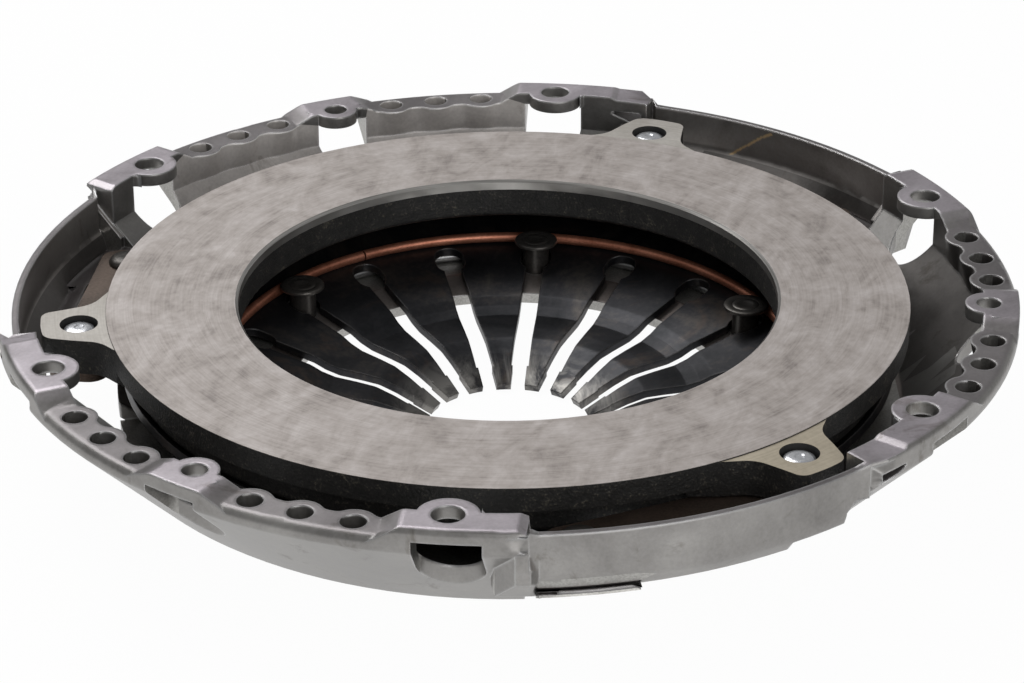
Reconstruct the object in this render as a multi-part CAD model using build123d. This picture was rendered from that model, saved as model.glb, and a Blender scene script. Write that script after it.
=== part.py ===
from build123d import *
import os
from math import atan, cos, degrees, hypot, radians, sin, sqrt, tan

# Clutch pressure plate: a diaphragm-spring clutch cover assembly for a 260 mm driven disc.
# Frame: the axis is Z, +Z points to the flywheel, z = 0 is the top of the bolted ears. Millimetres.
# The assembly repeats three times: lug pockets at 30, 150 and 270 degrees, flange groups at 90, 210 and 330.

# layout: the plate's edge carries every other radius of the rim
sectors = 3
pocket_azimuth = 30
group_azimuth = 90
plate_outer_r = 130.3
wall_reach = 34.7
land_width = 11.5
bolt_inset = 10
strap_reach = 8.7
bolt_hole_d = 10.1
dowel_hole_d = 8.0
small_hole_d = 8.0
small_hole_inset = 4.2
small_hole_angles = (8, 14, 20)

# cover, pressed from one sheet
sheet_t = 4.3
cover_bore_r = 73.1
floor_z = -38.5
lip_drop = 3.1
lip_width = 10.4
wall_slope = 0.975
wall_foot_z = -8.0
ear_top = 0
dowel_ear_top = -1.3
land_top = -3.8
rim_top = -1.0
land_bulge_r = 7.1
land_valley_r = 3.6
land_edge_r = 2.9
ear_edge_r = 2.2
ear_ramp = 6.5
ear_tongue_r = 9.4
dowel_tongue_r = 7.5
ear_window_w = 20.4
ear_window_reach = 10.8
dowel_window_w = 18.6
dowel_window_reach = 9.2
punch_mark_depth = 1.4

# strap pockets of the cover
pocket_start = -21.6
pocket_end = 17.6
slot_start = -20.8
slot_end = -9.6
ledge_end = 8.0
crease_drop = 14.5
slot_height = 1.2
lip_inset = 7.0
lug_opening_end = 20.8
lug_opening_inset = 8.5
lug_opening_rise = 3.3

# drive straps and their rivets
strap_rivet_angle = 15
strap_leaf_t = 1.1
strap_leaves = ("upper", "middle", "lower")
strap_w = 19
strap_end_r = 9.5
strap_top = -18.2
strap_clearance = 2.0
strap_rivet_d = 8.0
strap_rivet_head_d = 12.4
strap_rivet_head_h = 2.6
lug_rivet_head_d = 9.7
lug_rivet_face_d = 6.2
lug_rivet_recess = 1.0
rivet_hole_clearance = 0.05
rivet_seat_clearance = 0.2

# pressure plate
plate_face_z = -5.0
plate_bore_r = 87.7
plate_t = 14.0
plate_rim_t = 8.0
bore_chamfer = 0.9
ridge_tip_r = 3.0
ridge_seat_gap = 0.15
lug_top_drop = 0.5
lug_pad_h = 1.0
lug_pad_r = 10.0
lug_counterbore_d = 12.3
lug_counterbore_depth = 4.2

# diaphragm spring
spring_t = 2.7
spring_inset = 4.3
ridge_inset = 5.0
spring_rim_z = -24.6
spring_slope = 0.286
finger_count = 18
finger_slot_w = 6.0
finger_tip_slot_w = 4.8
finger_tip_from_r = 34.0
spring_window_inner_r = 81.5
spring_window_outer_r = 93.2
spring_window_w = 10.4
finger_root_r = 69
finger_line = ((65, -42.9), (60, -44.4), (52, -45.2), (46, -46.0), (40, -48.3), (27.8, -54.2))

# fulcrum rings and shouldered rivets
wire_d = 3.5
fulcrum_r = 95.0
wire_seat_gap = 0.03
spring_rivet_count = 6
spring_rivet_r = 87.3
spring_rivet_d = 9.0
spring_rivet_head_d = 15.0
spring_rivet_head_h = 1.3
spring_rivet_foot_h = 2.6
spring_rivet_foot_d = 13.0
ring_joint_azimuth = 98.6
ring_joint_gap = 0.6

# radii that follow
rim_r = plate_outer_r + wall_reach
bolt_circle_r = rim_r - bolt_inset
land_inner_r = rim_r - land_width
small_hole_circle_r = land_inner_r + small_hole_inset
strap_rivet_r = plate_outer_r + strap_reach
pocket_foot_r = strap_rivet_r - 2.1 * strap_end_r
pocket_knee_r = strap_rivet_r - strap_end_r - 1.5
boss_inner_r = strap_rivet_r - strap_rivet_head_d / 2
boss_outer_r = rim_r - lip_inset
lug_opening_r = rim_r - lug_opening_inset
spring_outer_r = plate_outer_r - spring_inset
ridge_r = spring_outer_r - ridge_inset


def polar(r, azimuth):
    return (r * cos(radians(azimuth)), r * sin(radians(azimuth)))


# a face from corners (x, y) or (x, y, radius of the corner)
def outline(corners):
    edges = []
    count = len(corners)
    starts, ends = [], []
    for i in range(count):
        x, y = corners[i][:2]
        radius = corners[i][2] if len(corners[i]) > 2 else 0
        here = Vector(x, y)
        back = (Vector(*corners[i - 1][:2]) - here).normalized()
        ahead = (Vector(*corners[(i + 1) % count][:2]) - here).normalized()
        if radius <= 0:
            starts.append(here)
            ends.append(here)
            continue
        half = radians(back.get_angle(ahead)) / 2
        middle = here + (back + ahead).normalized() * (radius / sin(half))
        first = here + back * (radius / tan(half))
        last = here + ahead * (radius / tan(half))
        edges.append(ThreePointArc(first, middle + (here - middle).normalized() * radius, last))
        starts.append(first)
        ends.append(last)
    for i in range(count):
        a, b = ends[i], starts[(i + 1) % count]
        if (b - a).length > 1e-5:
            edges.append(Line(a, b))
    return make_face(Wire(edges))


# a bent sheet in section: the line (r, z, bend radius, radius of the far side) and its offset to the right
def bent_sheet(line, thickness):
    far = []
    count = len(line)
    normals = []
    for i in range(count - 1):
        dx, dy = line[i + 1][0] - line[i][0], line[i + 1][1] - line[i][1]
        length = hypot(dx, dy)
        normals.append((dy / length, -dx / length))
    for i in range(count):
        n0 = normals[max(i - 1, 0)]
        n1 = normals[min(i, count - 2)]
        scale = thickness / (1 + n0[0] * n1[0] + n0[1] * n1[1])
        x = line[i][0] + (n0[0] + n1[0]) * scale
        y = line[i][1] + (n0[1] + n1[1]) * scale
        radius = line[i][2] if len(line[i]) > 2 else 0
        left_turn = n0[0] * n1[1] - n0[1] * n1[0] > 0
        if len(line[i]) > 3:
            radius = line[i][3]
        elif radius > 0:
            radius = radius + thickness if left_turn else radius - thickness
        far.append((x, y, radius))
    return outline([point[:3] for point in line] + far[::-1])


def lathe(section, start=0, arc=360):
    return Rot(0, 0, start) * revolve(Plane.XZ * section, Axis.Z, revolution_arc=arc)


def slab(face, bottom, top):
    return extrude(Pos(0, 0, bottom) * face, amount=top - bottom, dir=(0, 0, 1))


def ring_sector(inner, outer, start, end):
    middle = (start + end) / 2
    return make_face(Wire([
        Line(polar(inner, start), polar(outer, start)),
        ThreePointArc(polar(outer, start), polar(outer, middle), polar(outer, end)),
        Line(polar(outer, end), polar(inner, end)),
        ThreePointArc(polar(inner, end), polar(inner, middle), polar(inner, start))]))


def peg(diameter, bottom, top, r=0, azimuth=0):
    return Pos(*polar(r, azimuth), (bottom + top) / 2) * Cylinder(diameter / 2, top - bottom)


def around(shape, count):
    return [Rot(0, 0, 360 / count * i) * shape for i in range(count)]


# a plan shape drawn with +Y outward, turned to its azimuth
def facing(azimuth, face):
    return Rot(0, 0, azimuth - 90) * face


# derived sizes
floor_bottom = floor_z - sheet_t
wall_width = sheet_t * sqrt(1 + wall_slope ** 2)
wall_inner_r = rim_r - sheet_t
straps_t = strap_leaf_t * len(strap_leaves)
boss_top = strap_top - straps_t
crease_z = rim_top - crease_drop
boss_bottom = boss_top - sheet_t
pocket_knee_z = floor_z + 6.5
land_span = (3.8, 24.9)


def wall_inner(z):
    return rim_r - wall_width + wall_slope * (z - wall_foot_z)


def wall_inner_at(r):
    return wall_foot_z + (r - rim_r + wall_width) / wall_slope


lip = [(cover_bore_r, floor_z - lip_drop), (cover_bore_r + lip_width, floor_z, sheet_t + 0.7)]
cone_foot = (wall_inner(floor_z), floor_z, 1.5)
slant_inner = crease_z + sheet_t * tan(atan(1 / wall_slope) / 2) * 0.98

# the wall's section under the flange and in the pocket
land_section = bent_sheet(lip + [
    cone_foot,
    (wall_inner(land_top - sheet_t), land_top - sheet_t, 0, land_edge_r),
    (land_inner_r, land_top - sheet_t)], sheet_t)
pocket_line = lip + [
    (pocket_foot_r, floor_z, 3),
    (pocket_knee_r, pocket_knee_z, 2),
    (boss_inner_r, boss_top, sheet_t + 0.8)]
ledge_corner_r = wall_inner_r - wall_slope * (slant_inner - boss_top)
ledge_section = bent_sheet(pocket_line + [
    (ledge_corner_r, boss_top, 2),
    (wall_inner_r, slant_inner, 3),
    (wall_inner_r, rim_top)], sheet_t)


# a face drawn as (distance towards +azimuth, z), run outward from one radius to another
def radial_block(azimuth, corners, inner, outer):
    plane = Plane(origin=(*polar(inner, azimuth), 0), x_dir=(*polar(1, azimuth + 90), 0), z_dir=(*polar(1, azimuth), 0))
    return extrude(plane * outline(corners), amount=outer - inner, dir=plane.z_dir)


# the flange raised above the lands: its top line (azimuth from the ear, z, radius) seen from inside
def crown(azimuth, top_line, start, end, inner):
    line = [(rim_r * sin(radians(a)), z, *more) for a, z, *more in top_line]
    base = wall_foot_z - 12
    corners = [(line[0][0], base)] + line + [(line[-1][0], base)]
    section = outline([
        (inner, ear_top), (rim_r, ear_top, ear_edge_r), (rim_r, wall_foot_z + 0.6),
        (wall_inner(wall_foot_z - 1) + wall_width - 0.2, wall_foot_z - 1), (wall_inner_r - 0.7, wall_foot_z - 1),
        (inner, wall_inner_at(inner) - 1)])
    return radial_block(azimuth, corners, inner - 6, rim_r + 3) & lathe(section, azimuth + start, end - start)


# the ear's plan, hole at (0, bolt_circle_r), pocket side towards -X
def ear_plan():
    r = ear_tongue_r
    return outline([
        (polar(rim_r - 4, 90 - 4.3)),
        (*polar(land_inner_r + 3.5, 90 - 4.6), 1),
        (r, land_inner_r + 3, 3),
        (r, bolt_circle_r - r, r - 0.02),
        (-r, bolt_circle_r - r, r - 0.02),
        (-r, bolt_circle_r - 0.2, 4),
        (*polar(bolt_circle_r, 90 + 7.4), 1),
        (polar(rim_r - 4, 90 + 7.0))])


def dowel_ear_plan():
    r = dowel_tongue_r
    return outline([
        (polar(rim_r - 4, 90 - 3.1)),
        (*polar(land_inner_r + 3, 90 - 3.9), 1),
        (r, land_inner_r + 2.4, 3),
        (r, bolt_circle_r - r, r - 0.02),
        (-r, bolt_circle_r - r, r - 0.02),
        (-r, land_inner_r + 2.4, 3),
        (*polar(land_inner_r + 3, 90 + 3.9), 1),
        (polar(rim_r - 4, 90 + 3.1))])


def window_plan(width, inner_r):
    half = width / 2
    return outline([
        (half, rim_r + 4), (half, inner_r, half - 0.02), (-half, inner_r, half - 0.02), (-half, rim_r + 4)])


# a cutter through the wall, drawn as (azimuth, z) on the rim
def side_cutter(corners, inner, outer):
    middle = sum(corner[0] for corner in corners) / len(corners)
    return radial_block(middle, [(rim_r * sin(radians(a - middle)), z, *more) for a, z, *more in corners], inner, outer)


# a land's plan, bulging round its small holes
def land_plan(side, edges):
    plan = ring_sector(land_inner_r, rim_r - sheet_t, *edges)
    for angle in small_hole_angles:
        plan += Pos(*polar(small_hole_circle_r, group_azimuth + side * angle)) * Circle(land_bulge_r)
    ends = [Vector(*polar(land_inner_r, edge)) for edge in edges]
    valleys = [v for v in plan.vertices() if abs(hypot(v.X, v.Y) - land_inner_r) < 0.05
               and min((Vector(v.X, v.Y) - end).length for end in ends) > 1]
    return fillet(valleys, land_valley_r)


def make_cover():
    pocket, group = pocket_azimuth, group_azimuth
    step = 360 / sectors
    ear_after, ear_before = pocket + step / 4, pocket + step * 3 / 4
    next_start = pocket + step + pocket_start
    pieces = [lathe(ledge_section, pocket + pocket_start, pocket_end - pocket_start),
              lathe(land_section, pocket + pocket_end, step + pocket_start - pocket_end)]
    # lands between the ears, bulging round their small holes and filled down to the wall
    wedge = outline([
        (land_inner_r - 7.5, land_top), (wall_inner_r - 0.7, land_top), (wall_inner_r - 0.7, wall_foot_z),
        (land_inner_r - 7.5, wall_inner_at(land_inner_r - 7.5) - 1)])
    for side in (-1, 1):
        edges = sorted((group + side * land_span[0], group + side * land_span[1]))
        pieces.append(slab(land_plan(side, edges), wall_foot_z - 16, land_top)
                      & lathe(wedge, edges[0], edges[1] - edges[0]))
    # the three ears of a group on their raised flange, the one after the pocket mirrored before the next
    ramp = degrees(ear_ramp / rim_r)
    low = land_top - 2
    ear_line = [(-4.6 - ramp - 1.2, low), (-4.6 - ramp, land_top), (-4.6, ear_top, 4), (7.2, ear_top, 1.5),
                (8.0, rim_top, 1.5), (15, rim_top)]
    pieces.append(crown(ear_before, ear_line, -8, next_start + 0.2 - ear_before, land_inner_r))
    pieces.append(crown(ear_after, [(-a, z, *more) for a, z, *more in ear_line[::-1]],
                        pocket + pocket_end - 0.4 - ear_after, 8, land_inner_r))
    dowel_line = [(-3.3 - ramp - 1.2, low), (-3.3 - ramp, land_top), (-3.3, dowel_ear_top, 4)]
    pieces.append(crown(group, dowel_line + [(-a, z, *more) for a, z, *more in dowel_line[::-1]], -7, 7, land_inner_r))
    pieces.append(slab(facing(ear_before, ear_plan()), ear_top - sheet_t, ear_top))
    pieces.append(slab(facing(ear_after, ear_plan().mirror(Plane.YZ)), ear_top - sheet_t, ear_top))
    pieces.append(slab(facing(group, dowel_ear_plan()), dowel_ear_top - sheet_t, dowel_ear_top))
    # the strap's boss reaches out to a lip under the slot
    lip_plan = ring_sector(boss_inner_r + 12, boss_outer_r, pocket + slot_start, pocket + slot_end)
    pieces.append(slab(lip_plan, boss_bottom, boss_top))
    # the cheek where the flange's wall swells out to the pocket's
    cheek_plan = outline([
        polar(rim_r, next_start - 1.4), polar(rim_r, next_start + 0.8), polar(boss_outer_r - 8, next_start + 0.8),
        polar(boss_outer_r - 8, next_start - 4.0), polar(boss_outer_r - 1, next_start - 3.5)])
    cheek_section = outline([
        (wall_inner(boss_bottom) + 0.5, boss_bottom),
        (rim_r - (crease_z - 2 - boss_bottom) * wall_slope, boss_bottom),
        (rim_r, crease_z - 2), (rim_r, rim_top - 2), (wall_inner_r + 0.5, rim_top - 2),
        (wall_inner_r + 0.5, wall_inner_at(wall_inner_r))])
    pieces.append(slab(cheek_plan, boss_bottom, rim_top - 2) & lathe(cheek_section, next_start - 6, 10))
    third = pieces[0]
    for piece in pieces[1:]:
        third = third.fuse(piece)
    # the way through for the strap and the lug, below the rim band
    strap_in, strap_out = pocket_knee_r, strap_outer_v + strap_clearance
    way = ring_sector(strap_in, lug_opening_r, pocket + ledge_end, pocket + lug_opening_end)
    way += facing(pocket, outline([(27, strap_in - 1, 3), (27, strap_out, 3), (-30, strap_out), (-30, strap_in - 1)]))
    cuts = [slab(way, floor_bottom - 3, crease_z + 6) & lathe(outline([
        (pocket_knee_r, floor_bottom - 1), (lug_opening_r, floor_bottom - 1), (lug_opening_r, crease_z + 5),
        (pocket_knee_r, crease_z + 5)]))]
    # windows under the ears
    slot = ring_sector(ledge_corner_r - 0.8, rim_r + 2, pocket + slot_start, pocket + slot_end)
    cuts.append(slab(slot, boss_top, boss_top + slot_height))
    slot = ring_sector(boss_outer_r, rim_r + 2, pocket + slot_start, pocket + slot_end)
    cuts.append(slab(slot, boss_bottom - 1, boss_top + 0.1))
    under = ring_sector(lug_opening_r - 2, rim_r + 2, pocket + ledge_end, pocket + pocket_end)
    cuts.append(slab(under, floor_bottom, boss_top + lug_opening_rise))
    window = window_plan(ear_window_w, bolt_circle_r - ear_window_reach)
    for azimuth in (ear_after, ear_before):
        cuts.append(slab(facing(azimuth + 0.2, window), floor_bottom, ear_top - sheet_t))
    cuts.append(slab(facing(group - 0.65, window_plan(dowel_window_w, bolt_circle_r - dowel_window_reach)),
                     floor_bottom, dowel_ear_top - sheet_t))
    # the rim band's free end
    end = pocket + pocket_end
    cuts.append(side_cutter([(end - 2.6, crease_z - 3), (end - 2.6, crease_z + 1.3), (end - 1.6, crease_z + 4),
                             (end + 0.8, crease_z + 4), (end + 0.8, crease_z - 3)], lug_opening_r - 3, rim_r + 9))
    cuts.append(side_cutter([(end + 0.6, rim_top - sheet_t, 0.6), (end + 5.3, rim_top - sheet_t, 0.6),
                             (end + 0.8, rim_top - sheet_t - 4.8, 1.2)], land_inner_r - 3, rim_r + 9))
    # holes
    inside = lathe(outline([
        (0, floor_bottom), (wall_inner(floor_z) + mark_w, floor_z), (wall_inner(land_top) + mark_w, land_top),
        (0, land_top)]))
    for azimuth in (ear_after, ear_before):
        cuts.append(peg(bolt_hole_d, ear_top - sheet_t - 1, ear_top + 1, bolt_circle_r, azimuth))
    cuts.append(peg(dowel_hole_d, dowel_ear_top - sheet_t - 1, dowel_ear_top + 1, bolt_circle_r, group))
    for angle in small_hole_angles:
        for side in (-1, 1):
            place = (small_hole_circle_r, group + side * angle)
            cuts.append(peg(small_hole_d, land_top - sheet_t, land_top + 1, *place))
            cuts.append(peg(small_hole_d, crease_z - 5, land_top - sheet_t, *place) & inside)
    hole = strap_rivet_d + 2 * rivet_hole_clearance
    cuts.append(peg(hole, boss_bottom - 1, boss_top + 1, strap_rivet_r, pocket - strap_rivet_angle))
    seat = strap_rivet_head_d + 2 * rivet_seat_clearance
    cuts.append(peg(seat, boss_bottom - 3.5, boss_bottom, strap_rivet_r, pocket - strap_rivet_angle))
    for tool in cuts:
        third = third.cut(tool)
    cover = third
    for i in range(1, sectors):
        cover = cover.fuse(Rot(0, 0, step * i) * third)
    hole = spring_rivet_d + 2 * rivet_hole_clearance
    seat = spring_rivet_foot_d + 2 * rivet_seat_clearance
    return cover.cut(*around(peg(hole, floor_bottom - 1, floor_z + 1, spring_rivet_r), spring_rivet_count),
                     *around(peg(seat, floor_bottom - 3, floor_bottom, spring_rivet_r), spring_rivet_count))


# the pressure plate with its ridge, rim and three lugs
def make_plate():
    top = plate_face_z
    ridge_z = ridge_tip_z + ridge_tip_r
    section = outline([
        (plate_bore_r, top - bore_chamfer), (plate_bore_r + bore_chamfer, top), (plate_outer_r, top, 0.3),
        (plate_outer_r, top - plate_rim_t), (ridge_r + ridge_tip_r, top - plate_rim_t),
        (ridge_r + ridge_tip_r, ridge_z - ridge_tip_r, ridge_tip_r - 0.3),
        (ridge_r - ridge_tip_r, ridge_z - ridge_tip_r, ridge_tip_r - 0.3),
        (ridge_r - ridge_tip_r - 2, top - plate_t, 2), (plate_bore_r, top - plate_t, 2)])
    root, mid = plate_outer_r, strap_rivet_r
    lug = outline([
        (-30, root - 8.3), (-22, root - 1.9, 8), (-13.2, mid - 5, 10), (-10.9, mid + 4, 8), (-9.2, mid + 11.6, 4),
        (0, mid + 12.3, 40), (8.2, mid + 11.6, 5), (11.4, mid + 3, 8), (14.2, mid - 6, 10), (21, root - 1.9, 8),
        (28, root - 8.3)])
    lug = lug.mirror(Plane.YZ)
    lug_top, lug_bottom = top - lug_top_drop, strap_top + lug_pad_h
    plate = lathe(section)
    places = [pocket_azimuth + 360 / sectors * i + strap_rivet_angle for i in range(sectors)]
    hole = strap_rivet_d + 2 * rivet_hole_clearance
    lugs, cuts = [], []
    for azimuth in places:
        lugs.append(slab(facing(azimuth, lug), lug_bottom, lug_top) - peg(2 * ridge_r, lug_bottom - 1, top + 1))
        lugs.append(peg(2 * lug_pad_r, strap_top, lug_bottom, strap_rivet_r, azimuth))
        cuts.append(peg(hole, strap_top - 1, top + 1, strap_rivet_r, azimuth))
        cuts.append(peg(lug_counterbore_d, lug_top - lug_counterbore_depth, top + 1, strap_rivet_r, azimuth))
    return plate.fuse(*lugs).cut(*cuts)


def make_spring():
    line = [*finger_line[::-1], (finger_root_r, spring_middle(finger_root_r)), (spring_outer_r, spring_rim_z)]
    line = [(r, z - spring_rise) for r, z in line]
    section = bent_sheet([line[0]] + [(x, z, 6) for x, z in line[1:-1]] + [line[-1]], -spring_t)
    slots = Sketch()
    slot = Pos((finger_tip_from_r + spring_window_inner_r) / 2 + 2, 0) * Rectangle(
        spring_window_inner_r - finger_tip_from_r + 4, finger_slot_w)
    slot += Pos(finger_tip_from_r / 2 + 5, 0) * Rectangle(finger_tip_from_r, finger_tip_slot_w)
    window = Pos((spring_window_inner_r + spring_window_outer_r) / 2, 0) * RectangleRounded(
        spring_window_outer_r - spring_window_inner_r, spring_window_w, spring_window_w / 2 - 0.4)
    tool = slab(slot + window, -70, -20)
    return lathe(section).cut(*around(tool, finger_count))


strap_outer_v = strap_rivet_r * cos(radians(strap_rivet_angle)) + strap_w / 2
mark_w = punch_mark_depth * sqrt(1 + wall_slope ** 2)
spring_tilt = atan(spring_slope)
spring_rise = spring_t / 2 / cos(spring_tilt)


def spring_middle(r):
    return spring_rim_z - (spring_outer_r - r) * spring_slope


ridge_tip_z = (spring_middle(ridge_r) + spring_rise + (ridge_tip_r + ridge_seat_gap) / cos(spring_tilt)
               - ridge_tip_r)
wire_reach = (spring_t / 2 + wire_d / 2 + wire_seat_gap) / cos(spring_tilt)
wire_upper_z = spring_middle(fulcrum_r) + wire_reach
wire_lower_z = spring_middle(fulcrum_r) - wire_reach



# a wire ring; the plate-side one is butt-jointed
def make_ring(z):
    return Pos(0, 0, z) * Torus(fulcrum_r, wire_d / 2)


def ring_with_joint(z):
    gap = Pos(fulcrum_r, 0, z) * Box(wire_d * 2, ring_joint_gap, wire_d * 2)
    return make_ring(z) - Rot(0, 0, ring_joint_azimuth) * gap


# a shouldered rivet: its head on the wire, its foot headed under the cover
def make_spring_rivet(azimuth):
    seat = wire_upper_z + wire_d / 2 + wire_seat_gap
    r, head, foot_r = spring_rivet_d / 2, spring_rivet_head_d / 2, spring_rivet_foot_d / 2
    top, foot = seat + spring_rivet_head_h, floor_bottom - spring_rivet_foot_h
    section = outline([
        (0, top - 0.25), (2.4, top - 0.25), (2.9, top), (head - 0.7, top), (head, top - 0.5), (head, seat), (r, seat),
        (r, floor_bottom), (foot_r, floor_bottom), (foot_r, floor_bottom - 0.9), (foot_r - 2.1, foot), (0, foot)])
    return Pos(*polar(spring_rivet_r, azimuth)) * lathe(section)


# one leaf of a drive strap, between its two rivets
def make_leaf(pocket, level):
    v = strap_rivet_r * cos(radians(strap_rivet_angle))
    u = strap_rivet_r * sin(radians(strap_rivet_angle))
    end = u + strap_end_r
    half = strap_w / 2
    leaf = outline([(-end, v - half, 6), (end, v - half, 6), (end, v + half, 6), (-end, v + half, 6)])
    leaf = leaf - Pos(-u, v) * Circle(strap_hole_d / 2) - Pos(u, v) * Circle(strap_hole_d / 2)
    top = strap_top - level * strap_leaf_t
    return slab(facing(pocket, leaf), top - strap_leaf_t, top)


def rivet_foot(r, head, seat, height):
    return [(r, seat), (head, seat), (head - 0.3, seat - 0.5 * height), (0.62 * head, seat - height),
            (0, seat - height)]


def make_plate_rivet(azimuth):
    seat = plate_face_z - lug_top_drop - lug_counterbore_depth
    top = plate_face_z - lug_top_drop - lug_rivet_recess
    r, head = strap_rivet_d / 2, lug_rivet_head_d / 2
    section = outline([(0, top), (lug_rivet_face_d / 2, top), (head, top - 0.8), (head, seat), (r, seat),
                       *rivet_foot(r, strap_rivet_head_d / 2, boss_top, strap_rivet_head_h)])
    return Pos(*polar(strap_rivet_r, azimuth)) * lathe(section)


def make_cover_rivet(azimuth):
    r, head, height = strap_rivet_d / 2, strap_rivet_head_d / 2, strap_rivet_head_h
    section = outline([(0, strap_top + height), (0.62 * head, strap_top + height), (head - 0.3, strap_top + 0.5 * height),
                       (head, strap_top), (r, strap_top), *rivet_foot(r, head, boss_bottom, height)])
    return Pos(*polar(strap_rivet_r, azimuth)) * lathe(section)


strap_hole_d = strap_rivet_d + 2 * rivet_hole_clearance
parts = {
    "cover": make_cover(),
    "pressure_plate": make_plate(),
    "diaphragm_spring": make_spring(),
    "fulcrum_ring_plate_side": ring_with_joint(wire_upper_z),
    "fulcrum_ring_cover_side": make_ring(wire_lower_z)}
for i in range(spring_rivet_count):
    parts[f"spring_rivet_{i + 1}"] = make_spring_rivet(360 / spring_rivet_count * i)
for i in range(sectors):
    pocket = pocket_azimuth + 360 / sectors * i
    for level, leaf_name in enumerate(strap_leaves):
        parts[f"drive_strap_{i + 1}_{leaf_name}"] = make_leaf(pocket, level)
    parts[f"plate_strap_rivet_{i + 1}"] = make_plate_rivet(pocket + strap_rivet_angle)
    parts[f"cover_strap_rivet_{i + 1}"] = make_cover_rivet(pocket - strap_rivet_angle)

os.makedirs("parts", exist_ok=True)
for name, solid in parts.items():
    print(name, len(solid.solids()), solid.is_valid, round(solid.volume))
    export_step(solid, f"parts/{name}.step")
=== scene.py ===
import bpy, bmesh
from math import atan2, cos, degrees, hypot, radians, sin
from mathutils import Matrix, Vector


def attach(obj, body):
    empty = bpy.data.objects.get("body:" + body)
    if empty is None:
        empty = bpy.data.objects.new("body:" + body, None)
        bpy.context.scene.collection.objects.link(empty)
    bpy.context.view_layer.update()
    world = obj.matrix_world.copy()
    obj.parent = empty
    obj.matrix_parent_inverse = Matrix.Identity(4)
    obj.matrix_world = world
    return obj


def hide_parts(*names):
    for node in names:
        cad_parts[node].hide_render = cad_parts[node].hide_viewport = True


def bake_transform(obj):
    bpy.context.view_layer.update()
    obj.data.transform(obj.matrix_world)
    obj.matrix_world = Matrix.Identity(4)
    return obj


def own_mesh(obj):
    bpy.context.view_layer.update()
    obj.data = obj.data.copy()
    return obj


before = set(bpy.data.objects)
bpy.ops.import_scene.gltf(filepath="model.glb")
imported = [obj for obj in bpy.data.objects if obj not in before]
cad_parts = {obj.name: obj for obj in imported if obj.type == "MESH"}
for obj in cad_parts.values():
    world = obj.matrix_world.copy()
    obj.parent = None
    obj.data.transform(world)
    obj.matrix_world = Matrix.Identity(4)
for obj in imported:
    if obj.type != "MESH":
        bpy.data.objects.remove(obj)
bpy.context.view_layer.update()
print("frame loaded")


# node helpers

def newMaterial(name):
    material = bpy.data.materials.new(name)
    material.use_nodes = True
    nodes = material.node_tree.nodes
    return material, nodes, material.node_tree.links, nodes["Principled BSDF"]


def addNode(nodes, kind, **values):
    node = nodes.new("ShaderNode" + kind)
    for key, value in values.items():
        setattr(node, key, value)
    return node


def feed(links, socket, value):
    # links an output to the socket, or sets a plain value
    if hasattr(value, "is_output"):
        links.new(value, socket)
    else:
        socket.default_value = value


def colourRamp(nodes, links, source, stops):
    ramp = addNode(nodes, "ValToRGB")
    elements = ramp.color_ramp.elements
    while len(elements) < len(stops):
        elements.new(0.5)
    for element, (place, colour) in zip(elements, stops):
        element.position = place
        element.color = (*colour, 1)
    links.new(source, ramp.inputs[0])
    return ramp.outputs[0]


def mixColour(nodes, links, factor, a, b, blend="MIX"):
    mix = addNode(nodes, "Mix", data_type="RGBA", blend_type=blend)
    for label, value in (("Factor", factor), ("A", a), ("B", b)):
        feed(links, mix.inputs[label], (*value, 1) if isinstance(value, tuple) else value)
    return mix.outputs["Result"]


def tinted(nodes, links, factor, colour, tint):
    # the colour multiplied by a tint, as far as the factor says
    return mixColour(nodes, links, factor, colour, mixColour(nodes, links, 1.0, colour, tint, "MULTIPLY"))


def mathNode(nodes, links, operation, *values, clamp=False):
    node = addNode(nodes, "Math", operation=operation, use_clamp=clamp)
    for socket, value in zip(node.inputs, values):
        feed(links, socket, value)
    return node.outputs[0]


def vectorNode(nodes, links, operation, *values, scale=None):
    node = addNode(nodes, "VectorMath", operation=operation)
    for socket, value in zip(node.inputs, values):
        feed(links, socket, value)
    if scale is not None:
        feed(links, node.inputs["Scale"], scale)
    return node.outputs["Value" if operation in ("DOT_PRODUCT", "LENGTH", "DISTANCE") else "Vector"]


def sumOf(nodes, links, *parts):
    # the sum of some outputs, each times its share
    total = 0.0
    for source, share in parts:
        total = mathNode(nodes, links, "ADD", mathNode(nodes, links, "MULTIPLY", source, share), total)
    return total


def remap(nodes, links, value, low, high, toLow=0.0, toHigh=1.0):
    node = addNode(nodes, "MapRange")
    for label, number in (("Value", value), ("From Min", low), ("From Max", high), ("To Min", toLow),
                          ("To Max", toHigh)):
        feed(links, node.inputs[label], number)
    return node.outputs[0]


def noiseNode(nodes, links, vector, scale, detail=2, roughness=0.5, distortion=0):
    node = addNode(nodes, "TexNoise")
    for label, value in (("Vector", vector), ("Scale", scale), ("Detail", detail), ("Roughness", roughness),
                         ("Distortion", distortion)):
        feed(links, node.inputs[label], value)
    return node.outputs["Fac"]


def flatPlace(nodes, links):
    # the place in object space, with its height taken out
    return vectorNode(nodes, links, "MULTIPLY", addNode(nodes, "TexCoord").outputs["Object"], (1, 1, 0))


def newGroup(name, inputs, outputs):
    group = bpy.data.node_groups.new(name, "ShaderNodeTree")
    for label, kind, value in inputs:
        socket = group.interface.new_socket(label, in_out="INPUT", socket_type="NodeSocket" + kind)
        socket.default_value = value
    for label, kind in outputs:
        group.interface.new_socket(label, in_out="OUTPUT", socket_type="NodeSocket" + kind)
    start = group.nodes.new("NodeGroupInput")
    end = group.nodes.new("NodeGroupOutput")
    return group, start.outputs, end.inputs


def useGroup(nodes, group, **values):
    node = addNode(nodes, "Group", node_tree=group)
    for label, value in values.items():
        node.inputs[label].default_value = value
    return node


# shared effects

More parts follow.
